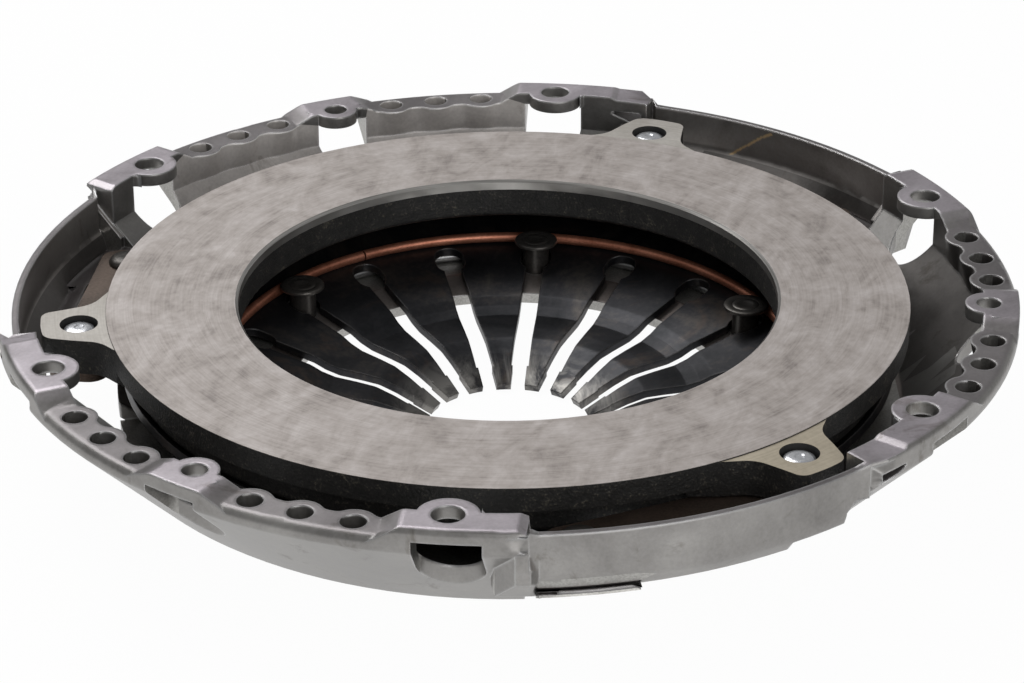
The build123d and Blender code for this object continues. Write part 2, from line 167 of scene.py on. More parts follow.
def makeMottle():
    # cloudy stains over a finer speckle, in object space
    group, given, out = newGroup("steelMottle",
                                 [("Scale", "Float", 30.0), ("Fine", "Float", 400.0), ("Share", "Float", 0.35)],
                                 [("Cloud", "Float"), ("Speckle", "Float")])
    nodes, links = group.nodes, group.links
    place = addNode(nodes, "TexCoord").outputs["Object"]
    cloud = noiseNode(nodes, links, place, given["Scale"], detail=6, roughness=0.62, distortion=0.6)
    fine = noiseNode(nodes, links, place, given["Fine"], detail=3)
    rest = mathNode(nodes, links, "SUBTRACT", 1.0, given["Share"])
    kept = mathNode(nodes, links, "MULTIPLY", cloud, rest)
    added = mathNode(nodes, links, "MULTIPLY", fine, given["Share"])
    links.new(mathNode(nodes, links, "ADD", kept, added), out["Cloud"])
    links.new(fine, out["Speckle"])
    return group


def makeTurnedLines():
    # fine rings left by turning or grinding about the clutch's axis, broken up round the circle
    group, given, out = newGroup("turnedLines", [("Rings", "Float", 2500.0), ("Breaks", "Float", 3.0)],
                                 [("Lines", "Float")])
    nodes, links = group.nodes, group.links
    flat = flatPlace(nodes, links)
    turned = vectorNode(nodes, links, "SCALE", vectorNode(nodes, links, "NORMALIZE", flat), scale=given["Breaks"])
    lift = addNode(nodes, "CombineXYZ")
    length = vectorNode(nodes, links, "LENGTH", flat)
    links.new(mathNode(nodes, links, "MULTIPLY", length, given["Rings"]), lift.inputs[2])
    total = vectorNode(nodes, links, "ADD", turned, lift.outputs[0])
    links.new(noiseNode(nodes, links, total, 1), out["Lines"])
    return group


stainSettings = {"stretch": (1.0, 0.42, 1.0), "blotScale": 0.55, "streakDetail": 7, "blotDetail": 5, "roughness": 0.68,
                 "distortion": 1.1}


def makeSlantedStains():
    # long soft stains lying at a slant, like wiped oil, with darker blots
    stain = stainSettings
    group, given, out = newGroup("slantedStains", [("Scale", "Float", 24.0), ("Turn", "Float", 0.6)],
                                 [("Streak", "Float"), ("Blot", "Float")])
    nodes, links = group.nodes, group.links
    place = addNode(nodes, "TexCoord").outputs["Object"]
    spin = addNode(nodes, "VectorRotate", rotation_type="Z_AXIS")
    links.new(place, spin.inputs["Vector"])
    links.new(given["Turn"], spin.inputs["Angle"])
    long = vectorNode(nodes, links, "MULTIPLY", spin.outputs[0], stain["stretch"])
    for vector, share, detail, label in ((long, 1.0, stain["streakDetail"], "Streak"),
                                         (place, stain["blotScale"], stain["blotDetail"], "Blot")):
        scale = mathNode(nodes, links, "MULTIPLY", given["Scale"], share)
        links.new(noiseNode(nodes, links, vector, scale, detail, stain["roughness"], stain["distortion"]), out[label])
    return group


def makeEdgeWear():
    # bare metal where an edge turns, from the difference between the rounded and the flat normal
    group, given, out = newGroup("edgeWear", [("Radius", "Float", 0.0009), ("Strength", "Float", 4.0)],
                                 [("Edge", "Float"), ("Normal", "Vector")])
    nodes, links = group.nodes, group.links
    bevel = addNode(nodes, "Bevel", samples=6)
    links.new(given["Radius"], bevel.inputs["Radius"])
    normal = addNode(nodes, "NewGeometry").outputs["Normal"]
    alike = vectorNode(nodes, links, "DOT_PRODUCT", bevel.outputs[0], normal)
    turn = mathNode(nodes, links, "SUBTRACT", 1.0, alike)
    links.new(mathNode(nodes, links, "MULTIPLY", turn, given["Strength"], clamp=True), out["Edge"])
    links.new(bevel.outputs[0], out["Normal"])
    return group


mottle, turnedLines, stains, edgeWear = makeMottle(), makeTurnedLines(), makeSlantedStains(), makeEdgeWear()


def surface(links, bsdf, colour, metallic, roughness):
    for label, value in (("Base Color", colour), ("Metallic", metallic), ("Roughness", roughness)):
        feed(links, bsdf.inputs[label], value)


def bumpFrom(nodes, links, bsdf, height, strength, distance, normal=None):
    bump = addNode(nodes, "Bump")
    bump.inputs["Strength"].default_value = strength
    bump.inputs["Distance"].default_value = distance
    links.new(height, bump.inputs["Height"])
    if normal is not None:
        links.new(normal, bump.inputs["Normal"])
    links.new(bump.outputs[0], bsdf.inputs["Normal"])


# materials: a ramp is stops of place and colour, and a name ending in From is what remap takes

drawnSteel = {"ramp": ((0.34, (0.175, 0.168, 0.160)), (0.50, (0.275, 0.266, 0.256)), (0.68, (0.39, 0.38, 0.365))),
              "edge": (0.62, 0.62, 0.62), "flat": (0.80, 0.77, 0.81), "ear": (1.95, 1.92, 2.03),
              "inside": (1.0, 0.95, 0.88), "grime": (0.42, 0.38, 0.33), "warmth": (1.0, 0.97, 0.96),
              "flatFrom": (0.80, 0.97), "earFrom": (-0.0026, -0.0012), "insideFrom": (-0.022, -0.032),
              "grimeFrom": (0.60, 0.70, 0.0, 0.55), "roughFrom": (0.35, 0.65, 0.30, 0.46), "metallic": 0.78}


def makeDrawnSteel(name, tint=1.0, metallic=drawnSteel["metallic"], rusty=False):
    # oiled cover sheet: violet grey on its flats, warmer on its walls, paler on the ears and along worn edges
    steel = drawnSteel
    material, nodes, links, bsdf = newMaterial(name)
    mottled = useGroup(nodes, mottle, Scale=21, Fine=900, Share=0.22)
    stained = useGroup(nodes, stains, Scale=30, Turn=1.1)
    dirty = useGroup(nodes, stains, Scale=85, Turn=0.3)
    field = sumOf(nodes, links, (mottled.outputs["Cloud"], 0.6), (stained.outputs["Streak"], 0.4))
    colour = colourRamp(nodes, links, field, steel["ramp"])
    place = addNode(nodes, "TexCoord")
    height, facing = addNode(nodes, "SeparateXYZ"), addNode(nodes, "SeparateXYZ")
    links.new(place.outputs["Object"], height.inputs[0])
    links.new(place.outputs["Normal"], facing.inputs[0])
    flat = remap(nodes, links, facing.outputs[2], *steel["flatFrom"])
    top = remap(nodes, links, height.outputs[2], *steel["earFrom"])
    deep = remap(nodes, links, height.outputs[2], *steel["insideFrom"])
    colour = tinted(nodes, links, flat, colour, steel["flat"])
    colour = tinted(nodes, links, mathNode(nodes, links, "MULTIPLY", flat, top), colour, steel["ear"])
    colour = tinted(nodes, links, mathNode(nodes, links, "MULTIPLY", deep, flat), colour, steel["inside"])
    wear = useGroup(nodes, edgeWear, Radius=0.0013, Strength=3.0)
    colour = mixColour(nodes, links, wear.outputs["Edge"], colour, steel["edge"])
    grime = remap(nodes, links, dirty.outputs["Blot"], *steel["grimeFrom"])
    colour = tinted(nodes, links, grime, colour, steel["grime"])
    # a tint other than 1 makes a lighter or darker, warmer copy of the sheet; the flange and ledge copies use it as
    # painted light and painted shade
    if tint != 1.0:
        colour = mixColour(nodes, links, 1.0, colour, tuple(tint * part for part in steel["warmth"]), "MULTIPLY")
    if rusty:
        colour = rustRun(nodes, links, place.outputs["Object"], colour)
    surface(links, bsdf, colour, metallic, remap(nodes, links, field, *steel["roughFrom"]))
    bumpFrom(nodes, links, bsdf, mottled.outputs["Speckle"], 0.10, 0.0002, wear.outputs["Normal"])
    return material


# one thin dried drip down a pocket wall, as distances to a bent line of azimuths and heights in mm
rustLine = {"points": ((37.2, -18.5), (35.9, -17.3), (34.9, -15.1), (33.2, -11.6), (31.3, -7.6), (29.8, -5.2)),
            "radius": 0.1580, "edgeFrom": (0.0013, 0.0008), "wobble": 0.0012, "wobbleScale": 900,
            "colour": (0.80, 0.58, 0.33)}


def rustRun(nodes, links, place, colour):
    spots = [Vector((rustLine["radius"] * cos(radians(turn)), rustLine["radius"] * sin(radians(turn)), z * 0.001))
             for turn, z in rustLine["points"]]
    nearest = None
    for start, end in zip(spots, spots[1:]):
        along = (end - start).normalized()
        shift = vectorNode(nodes, links, "SUBTRACT", place, start)
        reach = mathNode(nodes, links, "MAXIMUM", vectorNode(nodes, links, "DOT_PRODUCT", shift, along), 0.0)
        held = mathNode(nodes, links, "MINIMUM", reach, (end - start).length)
        gap = vectorNode(nodes, links, "DISTANCE", shift, vectorNode(nodes, links, "SCALE", along, scale=held))
        nearest = gap if nearest is None else mathNode(nodes, links, "MINIMUM", nearest, gap)
    wobble = noiseNode(nodes, links, place, rustLine["wobbleScale"])
    near = mathNode(nodes, links, "ADD", nearest, mathNode(nodes, links, "MULTIPLY", wobble, rustLine["wobble"]))
    return mixColour(nodes, links, remap(nodes, links, near, *rustLine["edgeFrom"]), colour, rustLine["colour"])


groundIron = {"ramp": ((0.38, (0.215, 0.188, 0.175)), (0.48, (0.418, 0.375, 0.350)), (0.60, (0.58, 0.535, 0.515))),
              "edge": (0.75, 0.73, 0.70), "metallic": 0.30, "roughness": 0.52}


def makeGroundIron():
    # ground friction face: warm grey with wiped stains at a slant and rings from the grinding wheel
    material, nodes, links, bsdf = newMaterial("groundIron")
    mottled = useGroup(nodes, mottle, Scale=75, Fine=420, Share=0.35)
    stained = useGroup(nodes, stains, Scale=75, Turn=0.75)
    rings = useGroup(nodes, turnedLines, Rings=1600, Breaks=5)
    coarse = useGroup(nodes, turnedLines, Rings=260, Breaks=14)
    field = sumOf(nodes, links, (mottled.outputs["Cloud"], 0.26), (stained.outputs["Streak"], 0.34),
                  (stained.outputs["Blot"], 0.16), (rings.outputs["Lines"], 0.13), (coarse.outputs["Lines"], 0.11))
    colour = colourRamp(nodes, links, field, groundIron["ramp"])
    wear = useGroup(nodes, edgeWear, Radius=0.0005, Strength=3)
    colour = mixColour(nodes, links, wear.outputs["Edge"], colour, groundIron["edge"])
    surface(links, bsdf, colour, groundIron["metallic"], groundIron["roughness"])
    bumpFrom(nodes, links, bsdf, rings.outputs["Lines"], 0.15, 0.0003)
    return material


lugIron = {"ramp": ((0.3, (0.36, 0.335, 0.30)), (0.7, (0.60, 0.57, 0.53))), "oil": (0.98, 0.90, 0.72), "oilTurn": 285,
           "oilFrom": (0.10, 0.13, 0.0, 0.8), "metallic": 0.35, "roughness": 0.5}


def makeLugFace():
    # machined lug tops, yellowed by old oil most of all at the front right
    material, nodes, links, bsdf = newMaterial("lugFace")
    mottled = useGroup(nodes, mottle, Scale=45, Fine=700, Share=0.3)
    rings = useGroup(nodes, turnedLines, Rings=1500, Breaks=5)
    field = sumOf(nodes, links, (mottled.outputs["Cloud"], 0.7), (rings.outputs["Lines"], 0.3))
    colour = colourRamp(nodes, links, field, lugIron["ramp"])
    turn = radians(lugIron["oilTurn"])
    place = addNode(nodes, "TexCoord").outputs["Object"]
    side = vectorNode(nodes, links, "DOT_PRODUCT", place, (cos(turn), sin(turn), 0))
    colour = tinted(nodes, links, remap(nodes, links, side, *lugIron["oilFrom"]), colour, lugIron["oil"])
    surface(links, bsdf, colour, lugIron["metallic"], lugIron["roughness"])
    bumpFrom(nodes, links, bsdf, rings.outputs["Lines"], 0.12, 0.0003)
    return material


castIron = {"ramp": ((0.40, (0.006, 0.006, 0.0055)), (0.56, (0.016, 0.015, 0.014)), (0.70, (0.11, 0.098, 0.075))),
            "metallic": 0.0, "roughness": 0.58}


def makeCastIron():
    # unmachined casting: near black and sandy, with tan specks
    material, nodes, links, bsdf = newMaterial("castSkin")
    mottled = useGroup(nodes, mottle, Scale=240, Fine=1300, Share=0.5)
    colour = colourRamp(nodes, links, mottled.outputs["Cloud"], castIron["ramp"])
    surface(links, bsdf, colour, castIron["metallic"], castIron["roughness"])
    bumpFrom(nodes, links, bsdf, mottled.outputs["Cloud"], 0.9, 0.0007)
    return material


boreIron = {"ramp": ((0.3, (0.26, 0.25, 0.235)), (0.7, (0.58, 0.565, 0.54))), "metallic": 0.8, "roughness": 0.28}


def makeTurnedBore():
    # turned band and chamfer at the mouth of the casting's bore
    material, nodes, links, bsdf = newMaterial("turnedBore")
    rings = useGroup(nodes, turnedLines, Rings=3000, Breaks=3)
    colour = colourRamp(nodes, links, rings.outputs["Lines"], boreIron["ramp"])
    surface(links, bsdf, colour, boreIron["metallic"], boreIron["roughness"])
    return material


hardSteel = {"ramp": ((0.34, (0.010, 0.011, 0.013)), (0.52, (0.028, 0.028, 0.031)), (0.68, (0.070, 0.062, 0.056))),
             "brown": (0.11, 0.072, 0.05), "scuff": (0.26, 0.25, 0.235), "edge": (0.22, 0.21, 0.20),
             "brownFrom": (0.56, 0.72, 0.0, 0.45), "tipFrom": (0.041, 0.030), "scuffFrom": (0.44, 0.60),
             "metallic": 0.8, "roughness": 0.36}


def makeSpringSteel():
    # hardened spring: blue-black with brown heat tints, and scuffed at the fingertips
    material, nodes, links, bsdf = newMaterial("springSteel")
    mottled = useGroup(nodes, mottle, Scale=38, Fine=600, Share=0.2)
    stained = useGroup(nodes, stains, Scale=60, Turn=0.2)
    colour = colourRamp(nodes, links, mottled.outputs["Cloud"], hardSteel["ramp"])
    brown = remap(nodes, links, stained.outputs["Blot"], *hardSteel["brownFrom"])
    colour = mixColour(nodes, links, brown, colour, hardSteel["brown"])
    tip = remap(nodes, links, vectorNode(nodes, links, "LENGTH", flatPlace(nodes, links)), *hardSteel["tipFrom"])
    streak = remap(nodes, links, stained.outputs["Streak"], *hardSteel["scuffFrom"])
    scuff = mathNode(nodes, links, "MULTIPLY", tip, streak, clamp=True)
    colour = mixColour(nodes, links, scuff, colour, hardSteel["scuff"])
    wear = useGroup(nodes, edgeWear, Radius=0.0007, Strength=2)
    colour = mixColour(nodes, links, wear.outputs["Edge"], colour, hardSteel["edge"])
    surface(links, bsdf, colour, hardSteel["metallic"], hardSteel["roughness"])
    bumpFrom(nodes, links, bsdf, mottled.outputs["Speckle"], 0.10, 0.0002, wear.outputs["Normal"])
    return material


def makePlainMetal(name, low, high, metallic, roughness, scale=60, fine=1200, bump=0.12, share=0.35,
                   stops=(0.32, 0.68)):
    material, nodes, links, bsdf = newMaterial(name)
    mottled = useGroup(nodes, mottle, Scale=scale, Fine=fine, Share=share)
    colour = colourRamp(nodes, links, mottled.outputs["Cloud"], ((stops[0], low), (stops[1], high)))
    surface(links, bsdf, colour, metallic, roughness)
    bumpFrom(nodes, links, bsdf, mottled.outputs["Speckle"], bump, 0.0002)
    return material


coverSteel = makeDrawnSteel("coverSteel")
pocketSteel = makeDrawnSteel("pocketSteel", 1.05, rusty=True)
# darker copy of the sheet: painted shade on the pocket floors below the ledge and on the inner flange walls of the two
# groups away from the back
paintedShadeSteel = makeDrawnSteel("paintedShadeSteel", 0.55)
# lighter, less metallic copy of the sheet: painted light on the inner flange wall of the bolted group at the back
paintedLightFlangeSteel = makeDrawnSteel("paintedLightFlangeSteel", 2.1, metallic=0.30)
# bright faces left by the press tool's shear
shearedEdge = makePlainMetal("shearedEdge", (0.22, 0.215, 0.20), (0.50, 0.49, 0.47), 0.85, 0.32,
                             fine=1500, bump=0.2, share=0.5, stops=(0.3, 0.7))
groundFace = makeGroundIron()
lugFace = makeLugFace()
castSkin = makeCastIron()
turnedBore = makeTurnedBore()
springSteel = makeSpringSteel()
copperWire = makePlainMetal("copperWire", (0.30, 0.105, 0.06), (0.60, 0.26, 0.17), 0.75, 0.38, scale=80)
plainWire = makePlainMetal("plainWire", (0.15, 0.15, 0.15), (0.35, 0.35, 0.35), 0.9, 0.35)
strapSteel = makePlainMetal("strapSteel", (0.05, 0.038, 0.030), (0.17, 0.125, 0.10), 0.6, 0.42, scale=30)
rivetSteel = makePlainMetal("rivetSteel", (0.48, 0.49, 0.52), (0.80, 0.81, 0.84), 0.8, 0.26)
darkSeat = makePlainMetal("darkSeat", (0.012, 0.012, 0.012), (0.030, 0.029, 0.028), 0.0, 0.7)
darkRivet = makePlainMetal("darkRivet", (0.035, 0.034, 0.033), (0.12, 0.11, 0.10), 0.75, 0.36)
print("materials made")


def setMaterials(thing, *materials):
    thing.data.materials.clear()
    for material in materials:
        thing.data.materials.append(material)


def evaluated(piece, name):
    mesh = bpy.data.meshes.new_from_object(piece.evaluated_get(bpy.context.evaluated_depsgraph_get()))
    piece.modifiers.clear()
    piece.data = mesh
    piece.data.name = name


edgeSettings = {"weld": 0.00001, "flatten": 0.6, "bevelAngle": 38, "segments": 2}


def refine(node, name, width, sharp=34, reshape=None):
    # a welded copy of a CAD node with softened edges, which takes its place
    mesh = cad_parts[node].data.copy()
    mesh.name = name
    piece = bpy.data.objects.new(name, mesh)
    bpy.context.scene.collection.objects.link(piece)
    work = bmesh.new()
    work.from_mesh(mesh)
    bmesh.ops.remove_doubles(work, verts=work.verts, dist=edgeSettings["weld"])
    bmesh.ops.dissolve_limit(work, angle_limit=radians(edgeSettings["flatten"]), verts=work.verts, edges=work.edges)
    if reshape:
        reshape(work)
    work.to_mesh(mesh)
    work.free()
    mesh.validate()
    mesh.shade_smooth()
    mesh.set_sharp_from_angle(angle=radians(sharp))
    if width:
        bevel = piece.modifiers.new("edges", "BEVEL")
        bevel.width, bevel.segments = width, edgeSettings["segments"]
        bevel.limit_method, bevel.angle_limit = "ANGLE", radians(edgeSettings["bevelAngle"])
        bevel.use_clamp_overlap = True
        bevel.miter_outer = "MITER_ARC"
    weighted = piece.modifiers.new("shading", "WEIGHTED_NORMAL")
    weighted.keep_sharp = True
    evaluated(piece, name)
    return piece


def settle(piece, body, nodes):
    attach(piece, body)
    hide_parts(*nodes)
    return piece


# angles in degrees from the middle of a pocket or of a bolted group, and sizes in metres
coverSettings = {"edge": 0.0010, "boreRadius": 0.0745, "window": (-0.0325, -0.0045), "upright": 0.2, "across": 0.35,
                 "ledge": -0.0188, "underRim": -0.0042, "pocket": (-21.4, 17.4), "lipRadius": 0.157, "lipTop": -0.0192,
                 "sills": (60, 90, 120), "sillSpan": 4.2, "sillZ": (-0.034, -0.008), "sillRadius": 0.135,
                 "flangeSpan": 33, "flangeZ": (-0.030, -0.0042), "flangeRadius": 0.138, "paintedLightFromY": 0.1}
# the rim between two bolted groups is set in and down, with a short ramp at each end
bandSettings = {"span": (-21.6, 17.6), "ramp": 1.1, "cutIn": 0.15, "wait": 0.1, "side": 0.10, "outer": 0.0048,
                "inner": 0.0026, "drop": 0.0027, "sheet": (0.1606, 0.165), "fade": (-0.026, -0.017), "from": 0.1502}
domeSettings = {"span": (5.0, 23.2), "foot": 0.1535, "keep": 0.08, "slope": 0.975, "reach": (0.146, 0.1534),
                "z": (-0.022, -0.008)}
lipSettings = {"span": (-21.0, -9.4), "reach": (0.1530, 0.1583), "z": (-0.0225, -0.0162), "out": 0.0013,
               "drop": 0.0027}
cornerSettings = {"span": 0.2, "radius": 0.1618, "z": -0.012, "in": 0.0030, "drop": 0.0012}
# the one end of a bolted group that moves: its azimuth, how near counts and how far it turns
lateEnd = {"azimuth": 167.6, "near": 1.25, "turn": 2.2}


def ease(value):
    value = min(1.0, max(0.0, value))
    return value * value * (3 - 2 * value)


def within(value, limits):
    return limits[0] < value < limits[1]


def around(place, first):
    # degrees from the nearest of three azimuths 120 apart
    return (degrees(atan2(place.y, place.x)) - first + 60) % 120 - 60


def partsOf(faces):
    # some faces with their edges and vertices
    return list({e for f in faces for e in f.edges} | {v for f in faces for v in f.verts} | set(faces))


def shapeCover(work):
    band, dome, lip, corner = bandSettings, domeSettings, lipSettings, cornerSettings
    start, end = band["span"]
    # edges across the band for its ramps to bend at
    for pocket in (30, 150, 270):
        for angle in (start + band["cutIn"], start + band["ramp"], end - band["ramp"], end - band["cutIn"]):
            turn = radians(pocket + angle)
            side = Vector((cos(turn), sin(turn), 0))
            near = [f for f in work.faces if f.calc_center_median().dot(side) > band["side"]]
            bmesh.ops.bisect_plane(work, geom=partsOf(near), dist=1e-6, plane_co=(0, 0, 0),
                                   plane_no=(-side.y, side.x, 0))
    for vertex in work.verts:
        place = vertex.co
        radius = newRadius = hypot(place.x, place.y)
        z, turn = place.z, degrees(atan2(place.y, place.x))
        angle, group = around(place, 30), abs(around(place, 90))
        # the domes are carried outward and up their slope
        if within(group, dome["span"]) and within(radius, dome["reach"]) and within(z, dome["z"]):
            newRadius = dome["foot"] - (dome["foot"] - radius) * dome["keep"]
            z += (newRadius - radius) / dome["slope"]
        share = min(ease((angle - start - band["wait"]) / band["ramp"]),
                    ease((end - band["wait"] - angle) / band["ramp"]))
        share *= ease((place.z - band["fade"][0]) / (band["fade"][1] - band["fade"][0]))
        if within(angle, lip["span"]) and within(radius, lip["reach"]) and within(place.z, lip["z"]):
            newRadius += lip["out"]
            z -= lip["drop"]
        elif share > 0 and radius > band["from"]:
            across = min(1.0, max(0.0, (radius - band["sheet"][0]) / (band["sheet"][1] - band["sheet"][0])))
            newRadius -= share * (band["inner"] + (band["outer"] - band["inner"]) * across)
            z -= share * band["drop"]
        # the bolted groups' outer corners are rolled over a little
        atEnd = min(abs(angle - start), abs(angle - end)) < corner["span"]
        if atEnd and radius > corner["radius"] and place.z > corner["z"]:
            newRadius, z = newRadius - corner["in"], z - corner["drop"]
        # one bolted group starts a little later than the others
        if abs(turn - lateEnd["azimuth"]) < lateEnd["near"] and radius > band["from"] and place.z > band["fade"][0]:
            turn += lateEnd["turn"]
        vertex.co = (newRadius * cos(radians(turn)), newRadius * sin(radians(turn)), z)


def makeCover():
    cover = coverSettings
    piece = refine("cover", "coverPressing", cover["edge"], reshape=shapeCover)
    setMaterials(piece, coverSteel, shearedEdge, pocketSteel, paintedLightFlangeSteel, paintedShadeSteel)
    for face in piece.data.polygons:
        centre, normal = face.center, face.normal
        radius = hypot(centre.x, centre.y)
        radial = (centre.x * normal.x + centre.y * normal.y) / max(radius, 1e-6)
        angle = around(centre, 30)
        inBore = radius < cover["boreRadius"]
        sideways = abs(normal.z) < cover["upright"] and abs(radial) < cover["across"]
        cutWall = sideways and within(centre.z, cover["window"])
        lipFace = (within(angle, lipSettings["span"]) and radial > 0.8 and centre.z < cover["lipTop"]
                   and radius > cover["lipRadius"])
        toSill = min(abs(around(centre, azimuth)) for azimuth in cover["sills"])
        sill = (toSill < cover["sillSpan"] and normal.z > 0.95 and within(centre.z, cover["sillZ"])
                and radius > cover["sillRadius"])
        inPocket = (within(angle, cover["pocket"]) and centre.z < cover["underRim"]
                    and (radial < -0.25 or normal.z > 0.3))
        flange = (abs(around(centre, 90)) < cover["flangeSpan"] and radial < -0.3
                  and within(centre.z, cover["flangeZ"]) and radius > cover["flangeRadius"])
        if inBore or cutWall or lipFace or sill:
            index = 1
        elif inPocket:
            # pocket faces below the ledge get the darker copy as painted shade, the rest of the pocket the copy with
            # the rust run
            index = 4 if centre.z < cover["ledge"] else 2
        elif flange:
            # the back group's inner flange wall gets the lighter copy as painted light, the other two groups' the
            # darker copy as painted shade
            index = 3 if centre.y > cover["paintedLightFromY"] else 4
        else:
            index = 0
        face.material_index = index
    return settle(piece, "cover_body", ["cover"])


plateSettings = {"edge": 0.0003, "face": -0.005, "lug": -0.0055, "outer": 0.1304, "bore": 0.0877, "mouth": 0.0012,
                 "cutReach": 0.002, "band": -0.0085, "seat": -0.0097, "lugCircle": 0.139, "lugTurn": 45,
                 "lugFrom": 0.12, "seatRadius": 0.00615, "slack": 0.0003, "lugSlack": 0.0005}


def makePlate():
    plate, slack = plateSettings, plateSettings["slack"]
    piece = refine("pressure_plate", "plateCasting", plate["edge"])
    mesh = piece.data
    work = bmesh.new()
    work.from_mesh(mesh)
    # the turned band's lower edge, cut into the bore wall so that its material can stop there
    near = [f for f in work.faces if hypot(*f.calc_center_median().xy) < plate["bore"] + plate["cutReach"]]
    bmesh.ops.bisect_plane(work, geom=partsOf(near), dist=1e-7, plane_co=(0, 0, plate["band"]), plane_no=(0, 0, 1))
    work.to_mesh(mesh)
    work.free()
    setMaterials(piece, castSkin, groundFace, lugFace, turnedBore, darkSeat)
    for face in mesh.polygons:
        centre, level = face.center, face.normal.z > 0.5
        radius = hypot(centre.x, centre.y)
        aside = radians(around(centre, plate["lugTurn"])) * radius
        inSeat = hypot(radius - plate["lugCircle"], aside) < plate["seatRadius"] + slack
        if inSeat and within(centre.z, (plate["seat"] - slack, plate["lug"] - slack)):
            index = 4
        elif level and abs(centre.z - plate["face"]) < slack and radius < plate["outer"]:
            index = 1
        elif level and centre.z > plate["lug"] - plate["lugSlack"]:
            index = 2 if radius > plate["lugFrom"] else 3
        elif radius < plate["bore"] + plate["mouth"] and centre.z > plate["band"]:
            index = 3
        else:
            index = 0
        face.material_index = index
    return settle(piece, "plate_body", ["pressure_plate"])


def makeSpring():
    piece = refine("diaphragm_spring", "diaphragmSpring", 0.0003)
    setMaterials(piece, springSteel)
    settle(piece, "cover_body", ["diaphragm_spring"])
    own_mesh(piece)
    return piece


# rivets: one turned profile, set round the circle

def makeRivetTree():
    tree = bpy.data.node_groups.new("turnedRivets", "GeometryNodeTree")
    sockets = {}
    for label, kind, value in (("Profile", "Geometry", None), ("Count", "Int", 6), ("Circle", "Float", 0.0873),
                               ("Start", "Float", 0.0), ("Segments", "Int", 40), ("Material", "Material", None)):
        socket = tree.interface.new_socket(label, in_out="INPUT", socket_type="NodeSocket" + kind)
        sockets[label] = socket.identifier
        if value is not None:
            socket.default_value = value
    tree.interface.new_socket("Rivets", in_out="OUTPUT", socket_type="NodeSocketGeometry")
    nodes, links = tree.nodes, tree.links
    given, out = nodes.new("NodeGroupInput"), nodes.new("NodeGroupOutput")
    line = nodes.new("GeometryNodeMeshToCurve")
    links.new(given.outputs["Profile"], line.inputs["Mesh"])
    path = nodes.new("GeometryNodeCurvePrimitiveCircle")
    path.inputs["Radius"].default_value = 1
    links.new(given.outputs["Segments"], path.inputs["Resolution"])
    sweep = nodes.new("GeometryNodeCurveToMesh")
    links.new(path.outputs["Curve"], sweep.inputs["Curve"])
    links.new(line.outputs["Curve"], sweep.inputs["Profile Curve"])
    weld = nodes.new("GeometryNodeMergeByDistance")
    weld.inputs["Distance"].default_value = 0.00001
    links.new(sweep.outputs["Mesh"], weld.inputs["Geometry"])
    ring = nodes.new("GeometryNodeMeshCircle")
    links.new(given.outputs["Count"], ring.inputs["Vertices"])
    links.new(given.outputs["Circle"], ring.inputs["Radius"])
    spin = nodes.new("ShaderNodeCombineXYZ")
    links.new(given.outputs["Start"], spin.inputs[2])
    turned = nodes.new("GeometryNodeTransform")
    links.new(ring.outputs["Mesh"], turned.inputs["Geometry"])
    links.new(spin.outputs[0], turned.inputs["Rotation"])
    spread = nodes.new("GeometryNodeInstanceOnPoints")
    links.new(turned.outputs[0], spread.inputs["Points"])
    links.new(weld.outputs[0], spread.inputs["Instance"])
    real = nodes.new("GeometryNodeRealizeInstances")
    links.new(spread.outputs[0], real.inputs[0])
    paint = nodes.new("GeometryNodeSetMaterial")
    links.new(real.outputs[0], paint.inputs["Geometry"])
    links.new(given.outputs["Material"], paint.inputs["Material"])
    links.new(paint.outputs[0], out.inputs[0])
    return tree, sockets


rivetTree, rivetSockets = makeRivetTree()


def makeRivets(name, profile, count, circle, start, material, body, nodes, segments=40):
    # the sweep turns the profile about Z on a circle of radius 1, so x is the radius less 1 and y is -z
    mesh = bpy.data.meshes.new(name)
    mesh.from_pydata([(r - 1, -z, 0) for r, z in profile], [(i, i + 1) for i in range(len(profile) - 1)], [])
    piece = bpy.data.objects.new(name, mesh)
    bpy.context.scene.collection.objects.link(piece)
    modifier = piece.modifiers.new("rivets", "NODES")
    modifier.node_group = rivetTree
    for label, value in (("Count", count), ("Circle", circle), ("Start", radians(start)), ("Segments", segments),
                         ("Material", material)):
        modifier[rivetSockets[label]] = value
    evaluated(piece, name)
    work = bmesh.new()
    work.from_mesh(piece.data)
    bmesh.ops.recalc_face_normals(work, faces=work.faces)
    work.to_mesh(piece.data)
    work.free()
    piece.data.shade_smooth()
    piece.data.set_sharp_from_angle(angle=radians(30))
    return settle(piece, body, nodes)


springRivet = {"circle": 0.0873, "top": -0.02713, "seat": -0.02843, "shank": 0.0045, "head": 0.0075, "floor": -0.0428,
               "foot": 0.0065, "footZ": -0.0454}
strapRivet = {"circle": 0.139, "shank": 0.004, "head": 0.0062, "height": 0.0026, "top": -0.0182, "pad": -0.0258,
              "lugSeat": -0.0097, "lugTop": -0.0065, "lugHead": 0.00485, "bossTop": -0.0215}


def footOf(seat, head, height):
    # a formed end below its seat, from the rim to the middle; a negative height puts it above
    return [(head, seat), (head, seat - 0.3 * height), (head - 0.0003, seat - 0.5 * height),
            (0.88 * head, seat - 0.72 * height), (0.62 * head, seat - height), (0.3 * head, seat - height),
            (0, seat - height)]


